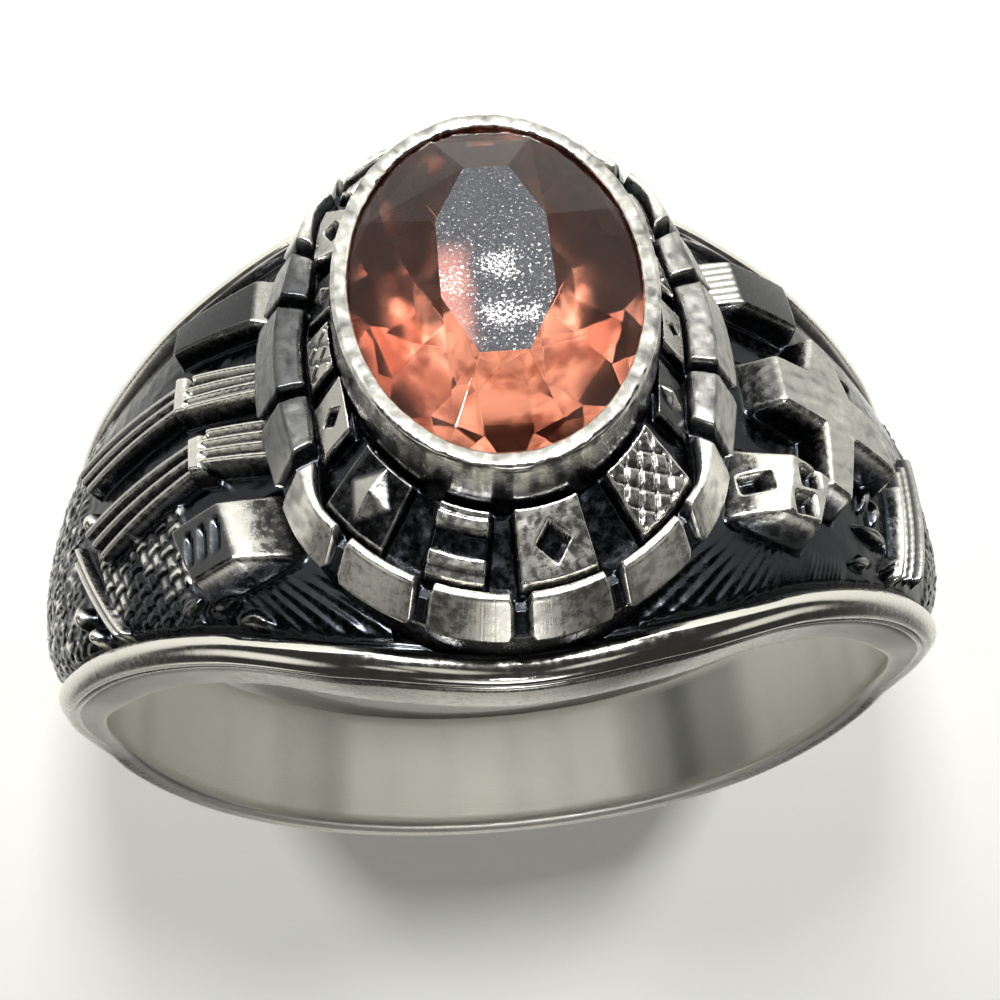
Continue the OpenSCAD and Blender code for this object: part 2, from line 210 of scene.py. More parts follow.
def band_share(angle, col):
    """A column of the band's table at any angle, as a smooth curve through its rows."""
    t = np.abs((np.asarray(angle, float) + 180) % 360 - 180)
    angles, values = BAND[:, 0], BAND[:, col]
    slopes = np.zeros(len(BAND))
    slopes[1:-1] = (values[2:] - values[:-2]) / (angles[2:] - angles[:-2])
    i = np.clip(np.searchsorted(angles, t, side="right") - 1, 0, len(BAND) - 2)
    step = angles[i + 1] - angles[i]
    u = (t - angles[i]) / step
    value = values[i] * (1 + 2 * u) * (1 - u) ** 2 + values[i + 1] * u * u * (3 - 2 * u)
    value += step * (slopes[i] * u * (1 - u) ** 2 - slopes[i + 1] * u * u * (1 - u))
    return np.maximum(0, value)


def side_z(t):
    return mix(BACK_W, HEAD_W, band_share(t, WIDE)) / 2


def plain_up(t):
    return mix(SIDE_WALL, BACK_WALL, band_share(t, BACK))


def rail_up(t):
    return mix(plain_up(t), RAIL_H, band_share(t, RAIL))


def panel_z(t):
    return side_z(t) - RAIL_T * mix(1.9, 1.1, band_share(t, EDGED))


def panel_r(t, z):
    """Radius of the sunk panel at an angle and a place along the finger."""
    share = np.minimum(1, np.abs(z) / panel_z(t))
    foot = rail_up(t) - mix(0.02, PANEL_DROP, band_share(t, EDGED))
    top = mix(plain_up(t), PANEL_H, band_share(t, PANEL))
    # a full ellipse would end upright at the panel's edge, so a little less is used
    return BORE_R + mix(foot, top, np.sqrt(1 - 0.96 * share * share))


def on_band(t, z, r):
    a = np.radians(t)
    return np.stack(np.broadcast_arrays(r * np.sin(a), -r * np.cos(a), z), -1)


def value_noise(x, y, cell, seed):
    """Smooth noise from -1 to 1 on a plane, made of seeded random values on a grid."""
    grid = np.random.default_rng(seed).uniform(-1, 1, (NOISE_CELLS, NOISE_CELLS))
    u, v = np.asarray(x) / cell, np.asarray(y) / cell
    i, j = np.floor(u).astype(int), np.floor(v).astype(int)
    a, b = smooth(0, 1, u - i), smooth(0, 1, v - j)

    def corner(di, dj):
        return grid[(i + di) % NOISE_CELLS, (j + dj) % NOISE_CELLS]

    low = mix(corner(0, 0), corner(1, 0), a)
    high = mix(corner(0, 1), corner(1, 1), a)
    return mix(low, high, b)


# Meshes

def grid_faces(rows, cols, round_rows=False, round_cols=False):
    """Faces between the points of a grid that is listed row by row."""
    i = np.arange(rows if round_rows else rows - 1)[:, None]
    j = np.arange(cols if round_cols else cols - 1)[None, :]
    i2, j2 = (i + 1) % rows, (j + 1) % cols
    quads = np.stack(np.broadcast_arrays(
        i * cols + j, i * cols + j2, i2 * cols + j2, i2 * cols + j), -1)
    return quads.reshape(-1, 4)


def add_object(name, data):
    made = bpy.data.objects.new(name, data)
    bpy.context.scene.collection.objects.link(made)
    return made


def make_piece(name, points, faces, replaces, materials, tone=None, places=None, period=0,
               matte=None, flat=False):
    """One piece of the ring, from points in mm, with a tone and a dullness for each point. Places
    are texture coordinates in mm, and the period is how far they run around a round piece."""
    mesh = bpy.data.meshes.new(name)
    mesh.from_pydata(np.asarray(points).reshape(-1, 3).tolist(), [], [list(f) for f in faces])
    mesh.transform(LAID_DOWN)
    for kind, values in (("tone", tone), ("matte", matte)):
        if values is not None:
            mesh.attributes.new(kind, "FLOAT", "POINT").data.foreach_set(
                "value", np.ascontiguousarray(values, np.float32).ravel())
    if places is not None:
        corners = np.zeros(len(mesh.loops), np.int32)
        mesh.loops.foreach_get("vertex_index", corners)
        at = np.asarray(places, np.float32).reshape(-1, 2)[corners]
        if period:
            # the last faces of a round piece end at the period, not back at the start
            around = at[:, 0].reshape(-1, 4)
            around[(around < period / 2) & (around.max(1, keepdims=True) > period * 0.75)] += period
        mesh.uv_layers.new(name="places").data.foreach_set("uv", at.ravel())
    mesh.polygons.foreach_set("use_smooth", np.full(len(mesh.polygons), not flat))
    for material in materials:
        mesh.materials.append(material)
    mesh.update()
    piece = add_object(name, mesh)
    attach(piece, "root")
    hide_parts(replaces)
    return piece


# Materials

class Nodes:
    """A small helper that adds nodes to a material or a world and links them."""

    def __init__(self, owner, shader="Principled BSDF"):
        owner.use_nodes = True
        self.owner = owner
        self.tree = owner.node_tree
        self.shader = self.tree.nodes[shader]

    def set(self, values):
        """Give the shader's own inputs their values, or link nodes to them."""
        for key, value in values.items():
            self.put(self.shader.inputs[key], value)

    def add(self, kind, inputs=(), **settings):
        made = self.tree.nodes.new(kind)
        for key, value in settings.items():
            setattr(made, key, value)
        for key, value in dict(inputs).items():
            self.put(made.inputs[key], value)
        return made

    def put(self, socket, value):
        if isinstance(value, bpy.types.NodeSocket):
            self.tree.links.new(value, socket)
        else:
            socket.default_value = value

    def places(self, scale):
        """The piece's own coordinates in mm, along and across, times a scale."""
        uv = self.add("ShaderNodeUVMap", uv_map="places")
        made = self.add("ShaderNodeMapping", {"Vector": uv.outputs["UV"], "Scale": scale})
        return made.outputs["Vector"]

    def space(self, scale):
        """Coordinates in mm in the ring's space, times a scale."""
        at = self.add("ShaderNodeTexCoord").outputs["Object"]
        size = [s / MM for s in scale]
        return self.add("ShaderNodeMapping", {"Vector": at, "Scale": size}).outputs["Vector"]

    def noise(self, at, detail=3.0, rough=0.55):
        made = self.add("ShaderNodeTexNoise", {
            "Vector": at, "Scale": 1.0, "Detail": detail, "Roughness": rough})
        return made.outputs["Fac"]

    def math(self, kind, a, b=0.0, clamp=False):
        return self.add("ShaderNodeMath", {0: a, 1: b}, operation=kind, use_clamp=clamp).outputs[0]

    def plus(self, a, b):
        return self.math("ADD", a, b)

    def times(self, a, b, clamp=False):
        return self.math("MULTIPLY", a, b, clamp)

    def span(self, value, low, high, to_low=0.0, to_high=1.0):
        made = self.add("ShaderNodeMapRange", {
            "Value": value, "From Min": low, "From Max": high, "To Min": to_low, "To Max": to_high},
            interpolation_type="SMOOTHSTEP")
        return made.outputs["Result"]

    def blend(self, factor, a, b):
        made = self.add("ShaderNodeMix", data_type="RGBA")
        self.put(made.inputs["Factor"], factor)
        self.put(made.inputs["A"], a)
        self.put(made.inputs["B"], b)
        return made.outputs["Result"]

    def bump(self, height, distance, strength):
        made = self.add("ShaderNodeBump", {
            "Height": height, "Distance": distance * MM, "Strength": strength})
        return made.outputs["Normal"]


OXIDE = (0.024, 0.026, 0.03, 1)
SHADE = (0.1, 0.1, 0.1, 1)
SATIN = (0.37, 0.365, 0.34, 1)
SILVER = (0.69, 0.675, 0.62, 1)
# Tones between which each metal gives way to the next
TO_SHADE = (0.08, 0.35)
TO_SATIN = (0.3, 0.62)
TO_SILVER = (0.6, 0.95)
# What a half worn tone and a dull point add to the roughness, and a dull point to the scratches
HALF_WORN_ROUGH = 0.08
MATTE_ROUGH = 0.17
MATTE_SCRATCH = 0.45


def silver(name, polish, satin, uneven=0.3, scratch=0.3, pitted=0.5, brushed=0.0):
    """Cast silver: dark glossy oxide where the tone is low, worn bright metal where it is high.
    Its roughness lies between polish and satin, uneven says how far its tone wanders, and the
    last three are the strengths of its scratches, pits and brush marks."""
    n = Nodes(bpy.data.materials.new(name))
    tone = n.add("ShaderNodeAttribute", attribute_name="tone").outputs["Fac"]
    patches = n.noise(n.space((0.8, 0.8, 0.8)), detail=4)
    grain = n.noise(n.space((6, 6, 6)), detail=4, rough=0.65)
    change = n.plus(n.times(patches, 0.5), n.times(grain, 0.5))
    change = n.plus(n.times(n.math("SUBTRACT", change, 0.5), 2 * uneven), 1.0)
    worn = n.times(tone, change, clamp=True)
    color = n.blend(n.span(worn, *TO_SHADE), OXIDE, SHADE)
    color = n.blend(n.span(worn, *TO_SATIN), color, SATIN)
    color = n.blend(n.span(worn, *TO_SILVER), color, SILVER)
    off_middle = n.math("ABSOLUTE", n.math("SUBTRACT", n.times(worn, 2.0), 1.1))
    middle = n.math("SUBTRACT", 1.0, off_middle, clamp=True)
    rough = n.span(grain, 0.35, 0.65, polish, satin)
    rough = n.plus(rough, n.times(middle, HALF_WORN_ROUGH))
    matte = n.add("ShaderNodeAttribute", attribute_name="matte").outputs["Fac"]
    rough = n.plus(rough, n.times(matte, MATTE_ROUGH))
    along = n.noise(n.places((1.0, 30, 1)), detail=2, rough=0.5)
    across = n.noise(n.places((18, 1.4, 1)), detail=2, rough=0.5)
    worn_marks = n.plus(n.times(matte, MATTE_SCRATCH), scratch)
    marks = n.times(n.plus(along, across), worn_marks)
    if brushed:
        marks = n.plus(marks, n.times(along, brushed))
    marks = n.plus(marks, n.times(grain, pitted))
    n.set({"Base Color": color, "Metallic": 1.0, "Roughness": rough, "Normal": n.bump(marks, 0.01, 0.5)})
    if brushed:
        way = n.add("ShaderNodeTangent", direction_type="UV_MAP", uv_map="places")
        n.set({"Tangent": way.outputs["Tangent"], "Anisotropic": 0.8})
    return n.owner


CAST = silver("cast_silver", 0.12, 0.28, 0.18)
WORN = silver("worn_silver", 0.1, 0.22, 0.17, 0.25, 0.3)
POLISHED = silver("polished_silver", 0.06, 0.14, 0.2, 0.06, 0.2)
SMOOTHED = silver("smoothed_silver", 0.2, 0.34, 0.16, 0.6, 0.5)
RAIL_SIDE = silver("rail_silver", 0.16, 0.26, 0.16, 0.3, 0.4)
BRUSHED = silver("brushed_silver", 0.2, 0.24, 0.1, 0.03, 0.05, brushed=0.3)


# The shank: the two rails, the plain back and the finger hole

def bore_tone(t):
    """Tone inside the finger hole by angle, with soft painted reflection bands and patches of painted
    shade.
    """
    turn = np.radians(t)
    # painted reflection bands, and painted shade that darkens the hole most of all towards -X
    reflection_waves = sum(np.sin(count * turn + shift) for count, shift in REFLECTION_BANDS)
    painted_shade = sum(share * np.exp(-((t - at) / reach) ** 2) for share, at, reach in PAINTED_SHADE_PATCHES)
    return np.clip(BORE_TONE + REFLECTION_BAND_TONE * reflection_waves - painted_shade, 0, 1)


def shank():
    t = np.arange(0, 360, BAND_STEP)[:, None]
    turned = np.abs((t + 180) % 360 - 180)
    up, inward, plain_u, plain_in, tone = [np.array(EDGE)[None, :, k] for k in range(5)]

    # the edge, from the finger hole over the rail to the panel
    edged = band_share(t, EDGED)
    grooved = 1 - smooth(*EDGED_ENDS, turned)
    calm_in = np.interp(up[0], CALM_EDGE[:, 0], CALM_EDGE[:, 1])
    soft_in = np.where(up < CALM_EDGE[-1, 0], mix(calm_in, inward, grooved), inward)
    r = BORE_R + rail_up(t) * mix(plain_u, up, edged)
    z = side_z(t) - RAIL_T * mix(plain_in, soft_in, edged)
    tone = mix(np.maximum(tone, 0.85) * np.ones_like(t), tone, grooved)

    # the panel, the other half, and the finger hole
    zp = PANEL_SHARES[None] * panel_z(t)
    plain = smooth(*PLAIN_ENDS, turned)
    half_r = np.concatenate([r, panel_r(t, zp)], 1)
    half_z = np.concatenate([z, zp], 1)
    half_tone = np.concatenate([tone, plain * 0.85 * np.ones_like(zp)], 1)
    bore_z = np.linspace(1, -1, 14)[1:-1][None] * z[:, :1]
    bore_r = np.full_like(bore_z, BORE_R)
    bore_t = bore_tone(t) * np.ones_like(bore_z)
    rr = np.concatenate([half_r, half_r[:, -2::-1], bore_r[:, ::-1]], 1)
    zz = np.concatenate([half_z, -half_z[:, -2::-1], bore_z[:, ::-1]], 1)
    tones = np.concatenate([half_tone, half_tone[:, -2::-1], bore_t], 1)
    matte = smooth(*MATTE_ENDS, turned) * np.ones_like(zz)

    wear = 0.008 * value_noise(t * 0.2, zz, 0.9, 3) * (rr > BORE_R + 0.1)
    points = on_band(t, zz, rr + wear)
    along = np.broadcast_to(t * ALONG, zz.shape)
    steps = np.hypot(np.diff(rr, axis=1, prepend=rr[:, :1]), np.diff(zz, axis=1, prepend=zz[:, :1]))
    places = np.stack([along, np.cumsum(steps, 1)], -1)
    rows, cols = zz.shape
    faces = grid_faces(rows, cols, round_rows=True, round_cols=True)
    piece = make_piece("shank", points, faces, "ring_body", [BRUSHED, RAIL_SIDE, POLISHED],
                       tones, places, 360 * ALONG, matte)

    # the flat sides take the second metal, the rest of the outside the third, the hole the first
    last_outside = 2 * (len(EDGE) + len(PANEL_SHARES)) - 2
    column = np.arange(cols)
    half = np.minimum(column, last_outside - column)
    kind = np.where(half >= SIDE_COLUMNS, 2, 1)
    kind[column >= last_outside] = 0
    kinds = np.broadcast_to(kind, zz.shape)
    piece.data.polygons.foreach_set("material_index", kinds.ravel().astype(np.int32))


# Relief as height maps. Shapes give the distance to their outline, below zero inside.

def placed(points):
    """Angles and shares of half the head's width, as mm along the band and along the finger."""
    return [(angle * ALONG, share * HALF_W) for angle, share in points]


def line(x, z, a, b):
    """Distance to a straight line between two points."""
    dx, dz = b[0] - a[0], b[1] - a[1]
    s = np.clip(((x - a[0]) * dx + (z - a[1]) * dz) / (dx * dx + dz * dz), 0, 1)
    return np.hypot(x - a[0] - s * dx, z - a[1] - s * dz)


def outline(x, z, corners):
    """Signed distance to a polygon."""
    nearest = np.full(x.shape, 1e9)
    inside = np.zeros(x.shape, bool)
    for a, b in zip(corners, corners[1:] + corners[:1]):
        nearest = np.minimum(nearest, line(x, z, a, b))
        if a[1] != b[1]:
            crosses = (a[1] > z) != (b[1] > z)
            inside ^= crosses & (x < (b[0] - a[0]) * (z - a[1]) / (b[1] - a[1]) + a[0])
    return np.where(inside, -nearest, nearest)


def blurred(h, reach):
    """A height map averaged over a square of 2 reach + 1 cells."""
    for axis in (0, 1):
        pad = [(reach + 1, reach) if k == axis else (0, 0) for k in (0, 1)]
        total = np.cumsum(np.pad(h, pad, mode="edge"), axis)
        high = np.take(total, range(2 * reach + 1, total.shape[axis]), axis)
        h = (high - np.take(total, range(h.shape[axis]), axis)) / (2 * reach + 1)
    return h


# How far apart the ridges on a grained end are, and where the ground's strokes end in degrees
GRAIN_PITCH = 0.19
STROKES_TO = 73


class Relief:
    """A height map in mm over a shoulder, with the tone of its metal."""

    def __init__(self, x, z, ground):
        self.x, self.z = x, z
        self.h = ground
        self.tone = np.zeros_like(x)

    def put(self, height, tone):
        """Raise the map where a shape stands higher, dark on its walls and toned on its top."""
        over = height > self.h
        top = height.max()
        self.h = np.where(over, height, self.h)
        self.tone = np.where(over, tone * smooth(0.6 * top, 0.95 * top, height), self.tone)

    def block(self, corners, height, tone, draft=0.16, end=0.0, end_tone=1.0, grain=0.0):
        """A flat shape. Its first and last corners are at its end near the head, which can slope."""
        corners = placed(corners)
        d = outline(self.x, self.z, corners)
        inside = np.clip(0.5 - d / draft, 0, 1)
        rise = height * inside
        flat = rise * (3 - 2 * rise / height) * rise / height
        tones = tone * smooth(0.7 * height, 0.97 * height, flat)
        if end:
            (ax, az), (bx, bz) = corners[0], corners[-1]
            mx, mz = np.mean(corners, 0)
            nx, nz = -(bz - az), bx - ax
            way = 1 if (mx - ax) * nx + (mz - az) * nz > 0 else -1
            inward = way * ((self.x - ax) * nx + (self.z - az) * nz) / math.hypot(nx, nz)
            ramp = np.clip(inward / end, 0, 1)
            flat = flat * ramp
            on_end = smooth(1.0, 0.92, ramp) * smooth(0.1, 0.3, ramp) * smooth(0.75, 0.98, inside)
            tones = mix(tones, end_tone, on_end)
            flat = flat + grain * on_end * np.sin(self.z * 2 * math.pi / GRAIN_PITCH)
        over = flat > self.h
        self.h = np.where(over, flat, self.h)
        self.tone = np.where(over, tones, self.tone)

    def ridge(self, a, b, width, height, tone, base=0.0):
        """A rod between two points, on a base, with a thin worn line along its crest."""
        a, b = placed([a, b])
        d = line(self.x, self.z, a, b) / (width / 2)
        foot = base * smooth(1.3, 0.9, d)
        over = foot + height * np.sqrt(np.clip(1 - d * d, 0, 1))
        crest = smooth(0.8, 0.25, d)
        self.tone = np.where(over > self.h, tone * mix(0.25, 1, crest) * (d < 1), self.tone)
        self.h = np.maximum(self.h, over)

    def bead(self, at, size, height, tone):
        at = placed([at])[0]
        d = np.hypot(self.x - at[0], self.z - at[1]) / size
        self.put(height * np.sqrt(np.clip(1 - d * d, 0, 1)), tone)

    def petal(self, at, length, width, turn, height, tone):
        """A leaf with a vein, turned from the band's direction."""
        at = placed([at])[0]
        c, s = math.cos(math.radians(turn)), math.sin(math.radians(turn))
        u = ((self.x - at[0]) * c + (self.z - at[1]) * s) / length
        v = ((self.z - at[1]) * c - (self.x - at[0]) * s) / width
        dome = np.clip(1 - u * u - np.abs(v) * (1 + 0.4 * np.abs(u)), 0, 1)
        vein = 0.45 * np.exp(-(v / 0.16) ** 2)
        self.put(height * np.sqrt(dome) * (1 - vein), tone)

    def pits(self, corners, places, size, depth, tall=1.0):
        """Square or tall pits in a block's top, placed by shares of its length and its width."""
        a, b, c, d = [np.array(p) for p in placed(corners)]
        for u, v in places:
            at = mix(mix(a, b, u), mix(d, c, u), v)
            square = np.maximum(np.abs(self.x - at[0]), np.abs(self.z - at[1]) / tall) - size / 2
            cut = smooth(0.04, -0.04, square)
            self.h = self.h - depth * cut
            self.tone = self.tone * (1 - cut)

    def pebbles(self, first, seed):
        """Short irregular strokes on the ground, from an angle to the shoulder's end."""
        angle = np.abs(self.x / ALONG)
        there = smooth(first, first + 2, angle) * smooth(STROKES_TO, STROKES_TO - 4, angle)
        strokes = value_noise(self.x, self.z * 2.4, 0.2, seed)
        strokes += 0.6 * value_noise(self.x + self.z, self.z * 1.5, 0.12, seed + 1)
        self.h += (0.045 * strokes + 0.05) * there
        self.tone += 0.95 * smooth(0.25, 0.9, strokes) * there


def exposed(h, tone, full):
    """Tone of a relief: edges are worn bright and hollows stay dark."""
    edge = smooth(0.03 * full, 0.13 * full, h - blurred(h, 2))
    hollow = smooth(0.02 * full, 0.2 * full, blurred(h, 3) - h)
    return np.clip(0.05 + tone + 0.55 * edge - 0.5 * hollow, 0, 1)


# The ribs' height, the degrees between them, and where they start: angle, and mm to the side
RIB_H = 0.026
RIB_TURN = 2.4
RIBS_FROM = (36, 0.5)


def fan(x, z, side, low, high):
    """Fine engraved ribs that spread from a point on the shoulder towards the rail."""
    angle = np.arctan2(x - side * RIBS_FROM[0] * ALONG, np.abs(z) - RIBS_FROM[1])
    ribs = RIB_H * np.sin(np.degrees(angle) * 2 * math.pi / RIB_TURN)
    return ribs * smooth(low, low + 0.4, np.abs(z)) * smooth(high, high - 3, np.abs(x / ALONG))


# The width of a woven strip, and the cosine and sine of the weave's turn
STRIP_W = 0.31
STRIP_WAY = (0.94, 0.34)


def weave(x, z):
    """A basket weave of short strips."""
    c, s = STRIP_WAY
    u, v = (x * c + z * s) / STRIP_W, (z * c - x * s) / STRIP_W
    over = (np.floor(u) + np.floor(v)) % 2
    strip_u = np.sqrt(np.clip(1 - (2 * (v - np.floor(v)) - 1) ** 2, 0, 1))
    strip_v = np.sqrt(np.clip(1 - (2 * (u - np.floor(u)) - 1) ** 2, 0, 1))
    return np.where(over, strip_u, strip_v)


# Shapes on the shoulders. A place is an angle from the head and a share of half its width.
FLUTES = [
    [[19, -0.16], [29, -0.235]], [[19, -0.125], [29.6, -0.19]],
    [[19, -0.09], [29.8, -0.15]], [[19, -0.055], [29.6, -0.115]],
    [[19, 0.075], [27, 0.02]], [[19, 0.115], [27.4, 0.055]],
    [[19, 0.155], [27.6, 0.09]], [[19, 0.2], [27.6, 0.128]],
]
RODS = [
    [[31.2, -0.25], [48, -0.176]], [[31.2, -0.205], [47, -0.126]], [[31.2, -0.16], [45.5, -0.067]],
    [[29.2, 0.02], [45, 0.13]], [[29.2, 0.072], [43.5, 0.193]], [[29.2, 0.126], [42, 0.26]],
]
STAR = [
    [-24.6, 0.05], [-31.2, 0.118], [-30.2, 0.361], [-33.4, 0.403], [-35.5, 0.151], [-42, 0.21],
    [-40, 0.008], [-36.3, -0.05], [-35, -0.227], [-32.5, -0.294], [-30.5, -0.118], [-24.6, -0.151],
]
PITTED_LEFT = [[20.2, 0.28], [30.5, 0.37], [28, 0.6], [18.2, 0.53]]
PITTED_RIGHT = [[-22, 0.215], [-30.6, 0.34], [-28.4, 0.545], [-20, 0.49]]
WOVEN = [[32.5, 0.12], [46, 0.14], [41, 0.62], [30, 0.64]]
LEFT_PETALS = [
    # place, length, width, turn
    [[27, 0.6], 0.5, 0.24, 8], [[24, 0.69], 0.45, 0.2, -20], [[31, 0.575], 0.42, 0.2, 20],
]
RIGHT_PETALS = [
    # place, length, width, turn, height
    [[-40.2, 0.4], 0.72, 0.2, -6, 0.3], [[-39.4, 0.26], 0.5, 0.13, 60, 0.3],
    [[-41.2, 0.3], 0.4, 0.12, 75, 0.26], [[-44, 0.46], 0.45, 0.18, 30, 0.24],
    [[-38, 0.51], 0.5, 0.16, 15, 0.2], [[-37.5, -0.34], 0.5, 0.18, 10, 0.26],
    [[-41.5, -0.28], 0.5, 0.16, -10, 0.22],
]
RIGHT_RODS = [
    # from, to, width, height, tone
    [[-45.7, 0.16], [-44.4, 0.5], 0.26, 0.36, 0.7], [[-48.4, 0.04], [-46.4, 0.48], 0.14, 0.26, 0.5],
    [[-50.8, -0.02], [-48.4, 0.46], 0.14, 0.24, 0.5], [[-54, -0.1], [-51, 0.43], 0.26, 0.26, 0.7],
    [[-66, -0.26], [-66, 0.26], 0.48, 0.08, 0.6],
]


def left_relief(x, z):
    ground = 0.02 * value_noise(x, z, 0.3, 11) + fan(x, z, 1, 3.3, 33)
    made = Relief(x, z, ground)
    lattice = smooth(0.1, -0.1, outline(x, z, placed(WOVEN)))
    strips = weave(x, z)
    made.h += 0.12 * strips * lattice
    rubbed = smooth(-0.4, 0.5, value_noise(x, z, 0.5, 13))
    made.tone += smooth(0.8, 1, strips) * rubbed * lattice
    made.pebbles(48, 12)
    for at, length, width, turn in LEFT_PETALS:
        made.petal(at, length, width, turn, 0.24, 0.4)
    made.ridge([66, -0.26], [66, 0.26], 0.48, 0.08, 0.6)
    for a, b in FLUTES:
        made.ridge(a, b, 0.27, 0.6, 1.0)
    for a, b in RODS:
        made.ridge(a, b, 0.27, 0.16, 0.6, base=0.24)
    for share in (0, 0.055):
        made.ridge([48.5, 0.13 + share], [40.5, 0.58 + share], 0.18, 0.3, 0.8)
    for at in ([48, 0.4], [46, 0.5], [45.5, 0.07]):
        made.bead(at, 0.26, 0.4, 0.95)
    made.block([[20, -0.62], [33, -0.55], [33, -0.4], [20, -0.38]], 0.5, 0.12, end=0.6, end_tone=0.5)
    made.block([[29.6, -0.26], [31.6, -0.28], [31.6, -0.11], [29.6, -0.1]], 0.58, 0.75)
    made.block([[27.4, 0.01], [29.6, 0.01], [29.4, 0.15], [27.4, 0.17]], 0.58, 0.75)
    made.block(PITTED_LEFT, 0.85, 0.16, draft=0.22, end=1.05, end_tone=0.72)
    made.pits(PITTED_LEFT, [[0.58, 0.5], [0.72, 0.5], [0.86, 0.5]], 0.13, 0.1, tall=4.5)
    return made


def right_relief(x, z):
    angle = np.abs(x / ALONG)
    ground = 0.02 * value_noise(x, z, 0.3, 21) + fan(x, z, -1, 3.0, 36)
    made = Relief(x, z, ground)
    made.pebbles(55, 22)
    for at, length, width, turn, height in RIGHT_PETALS:
        made.petal(at, length, width, turn, height, 0.55)
    for a, b, width, height, tone in RIGHT_RODS:
        made.ridge(a, b, width, height, tone)
    made.block([[-21, -0.6], [-33, -0.56], [-32.5, -0.31], [-21, -0.38]], 0.6, 0.16, draft=0.2,
               end=0.95, end_tone=0.55, grain=0.035)
    made.block(PITTED_RIGHT, 0.85, 0.54, draft=0.22, end=0.95)
    made.pits(PITTED_RIGHT, [[0.24, 0.5], [0.72, 0.27], [0.72, 0.72]], 0.38, 0.3)
    made.block(STAR, 0.75, 0.54, draft=0.18, end=0.5, end_tone=0.35)
    tops = smooth(0.64, 0.7, made.h)
    rubbed = 0.6 * value_noise(x * 0.5, z * 2.6, 0.3, 25) + 0.5 * value_noise(x + z, z - x, 0.16, 26)
    made.h += 0.006 * rubbed * tops
    made.tone += 0.2 * rubbed * tops
    rough = smooth(26.9, 26.3, angle) * smooth(0.2, 0.35, made.h) * smooth(0.35, 0.2, np.abs(z + 0.3) / 2)
    made.h += 0.03 * value_noise(x, z, 0.11, 24) * rough
    return made


# A shoulder's skin: degrees from the head where it starts, sinks and ends, its width as a share of
# the panel's, how far it stands over the panel and sinks at its rim, and its root over the finger
SHOULDER_FROM, SHOULDER_SINKS, SHOULDER_TO = 11, 68, 74
PAST_EDGE = 1.02
STANDS, SINKS, ROOT = 0.03, 0.06, 0.3
# Full heights of the shoulders' and the channel's relief, for the wear on its edges
FULL_RELIEF = 0.55
FULL_BLOCK = 0.6


def shoulder(name, relief, side):
    """The relief of one shoulder as a closed skin that stands on the band."""
    rows, cols = SHOULDER_GRID
    angles = np.linspace(SHOULDER_FROM, SHOULDER_TO, rows)[:, None] * side
    shares = np.linspace(-1, 1, cols)[None] * PAST_EDGE
    z = shares * panel_z(angles)
    x = np.broadcast_to(angles * ALONG, z.shape)
    made = relief(x, z)
    made.h = blurred(made.h, 1)
    fade = smooth(SHOULDER_TO, SHOULDER_SINKS, np.abs(angles))
    fade = fade * smooth(PAST_EDGE, 0.97, np.abs(shares))
    h = np.where(made.h > 0, made.h * fade, made.h) + STANDS * fade - SINKS * (1 - fade)
    top = on_band(angles, z, panel_r(angles, z) + h)
    root = on_band(angles, z[:, [0, -1]], BORE_R + ROOT)
    points = np.concatenate([top.reshape(-1, 3), root.reshape(-1, 3)])
    faces = grid_faces(rows, cols).tolist()
    low = rows * cols
    for i in range(rows - 1):
        a, b = i * cols, (i + 1) * cols
        p, q = low + 2 * i, low + 2 * (i + 1)
        faces.append([a, b, q, p])
        faces.append([b - 1, p + 1, q + 1, b + cols - 1])
        faces.append([p, q, q + 1, p + 1])
    faces.append(list(range(cols - 1, -1, -1)) + [low, low + 1])
    last = (rows - 1) * cols
    faces.append([last + j for j in range(cols)] + [low + 2 * rows - 1, low + 2 * rows - 2])
    if side > 0:
        faces = [f[::-1] for f in faces]
    tone = blurred(exposed(made.h, made.tone, FULL_RELIEF), 1)
    tone = np.concatenate([tone.ravel(), np.zeros(2 * rows)])
    places = np.concatenate([np.stack([x, z], -1).reshape(-1, 2), np.zeros((2 * rows, 2))])
    make_piece(name, points, faces, "ring_body", [CAST], tone, places)


# The head

def oval(angle, out, y):
    a = np.radians(angle)
    return np.stack(np.broadcast_arrays((OPEN_X + out) * np.sin(a), -y, (OPEN_Z + out) * np.cos(a)), -1)


def pace(angle, out):
    """Millimetres for each degree at an angle around the oval."""
    a = np.radians(angle)
    return np.hypot((OPEN_X + out) * np.cos(a), (OPEN_Z + out) * np.sin(a)) * math.pi / 180


def sideness(angle):
    """How near an angle around the oval is to its sides."""
    return smooth(0.75, 0.97, np.abs(np.sin(np.radians(angle))))


def channel_out(angle):
    return COLLAR_OUT + mix(CHANNEL_W, SIDE_CHANNEL_W, sideness(angle))


def border_out(angle):
    return channel_out(angle) + BORDER_T / 2 + mix(BORDER_T, SIDE_BORDER_T, sideness(angle))


def foot_out(angle):
    return END_FOOT_OUT - SIDE_FOOT_IN * sideness(angle)


# The bars on one half of the border, from angle to angle around the oval
BARS = [
    [1.2, 20.4], [22.6, 41.2], [43.4, 60.8], [63, 77.5], [79, 102],
    [103.5, 117], [119.2, 136.6], [138.8, 157.4], [159.6, 178.8],
]
PITTED, STUDDED, STEPPED, KNURLED = 0, 1, 2, 3
BLOCKS = [
    # angle, how many degrees it spreads over, motif
    [15.4, 17, STEPPED], [42, 20, STUDDED], [65, 16, PITTED], [84, 15, KNURLED],
    [103, 15, STUDDED], [123, 16, PITTED], [146, 20, STEPPED], [169, 18, KNURLED],
    [192, 18, PITTED], [215, 20, STUDDED], [237, 16, STEPPED], [256, 14, KNURLED],
    [275, 15, PITTED], [295, 16, STUDDED], [319.4, 21, KNURLED], [350.3, 22, PITTED],
]
